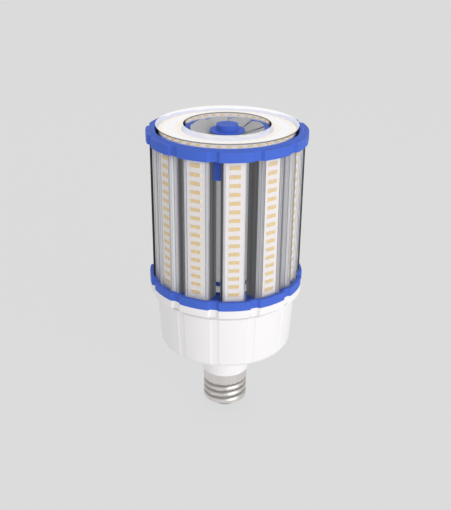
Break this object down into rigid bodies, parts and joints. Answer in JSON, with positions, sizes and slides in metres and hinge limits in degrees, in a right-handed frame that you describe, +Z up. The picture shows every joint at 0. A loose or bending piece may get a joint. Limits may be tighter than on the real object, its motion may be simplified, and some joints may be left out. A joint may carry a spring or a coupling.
{
  "type": "led post top lamp",
  "caption": "Post top lamp on a mogul screw base, with upright light strips under clear covers round a finned core, lobed rings, a ring light on top and a fan at its centre",
  "frame": {"origin": "centre of the tip of the base's contact, the lowest point on the axis", "axes": "+Z runs up the lamp's axis from the screw base to the top cover, strip 1 faces -Y, X is to its right"},
  "size_m": [0.1304, 0.1304, 0.2646],
  "materials": {
    "contact_metal": "satin",
    "insulator_plastic": "gloss",
    "shell_metal": "satin",
    "white_plastic": "semi-gloss",
    "board_laminate": "matt",
    "winding_wrap": "matt",
    "capacitor_sleeve": "gloss",
    "lead_sleeve": "matt",
    "blue_plastic": "semi-gloss",
    "bare_aluminium": "satin",
    "led_phosphor": "matt",
    "white_board": "matt",
    "clear_plastic": "gloss",
    "winding_copper": "satin",
    "shaft_steel": "polished",
    "grey_plastic": "matt"
  },
  "bodies": {
    "lamp_body": {"base_insulator": "insulator_plastic", "bottom_ring": "blue_plastic", "centre_contact": "contact_metal", "core_base_plate": "bare_aluminium", "core_tube": "bare_aluminium", "driver_board": "board_laminate", "driver_capacitor": "capacitor_sleeve", "driver_housing": "white_plastic", "driver_transformer": "winding_wrap", "fan_frame": "blue_plastic", "fan_stator": "winding_copper", "heatsink_bar_01": "bare_aluminium", "heatsink_bar_02": "bare_aluminium", "heatsink_bar_03": "bare_aluminium", "heatsink_bar_04": "bare_aluminium", "heatsink_bar_05": "bare_aluminium", "heatsink_bar_06": "bare_aluminium", "heatsink_bar_07": "bare_aluminium", "heatsink_bar_08": "bare_aluminium", "heatsink_bar_09": "bare_aluminium", "heatsink_bar_10": "bare_aluminium", "heatsink_bar_11": "bare_aluminium", "heatsink_bar_12": "bare_aluminium", "housing_collar": "white_plastic", "led_board_01": "white_board", "led_board_02": "white_board", "led_board_03": "white_board", "led_board_04": "white_board", "led_board_05": "white_board", "led_board_06": "white_board", "led_board_07": "white_board", "led_board_08": "white_board", "led_board_09": "white_board", "led_board_10": "white_board", "led_board_11": "white_board", "led_board_12": "white_board", "screw_shell": "shell_metal", "strip_cover_01": "clear_plastic", "strip_cover_02": "clear_plastic", "strip_cover_03": "clear_plastic", "strip_cover_04": "clear_plastic", "strip_cover_05": "clear_plastic", "strip_cover_06": "clear_plastic", "strip_cover_07": "clear_plastic", "strip_cover_08": "clear_plastic", "strip_cover_09": "clear_plastic", "strip_cover_10": "clear_plastic", "strip_cover_11": "clear_plastic", "strip_cover_12": "clear_plastic", "strip_leds": "led_phosphor", "supply_leads": "lead_sleeve", "top_cover": "clear_plastic", "top_led_board": "white_board", "top_ring": "blue_plastic"},
    "fan_rotor": {"fan_impeller": "grey_plastic", "fan_hub_cap": "blue_plastic", "fan_shaft": "shaft_steel"}
  },
  "joints": [
    {"name": "fan_spin", "type": "hinge", "parent": "lamp_body", "child": "fan_rotor", "pos_m": [0, 0, 0.254], "axis": [0, 0, 1], "continuous": true}
  ]
}
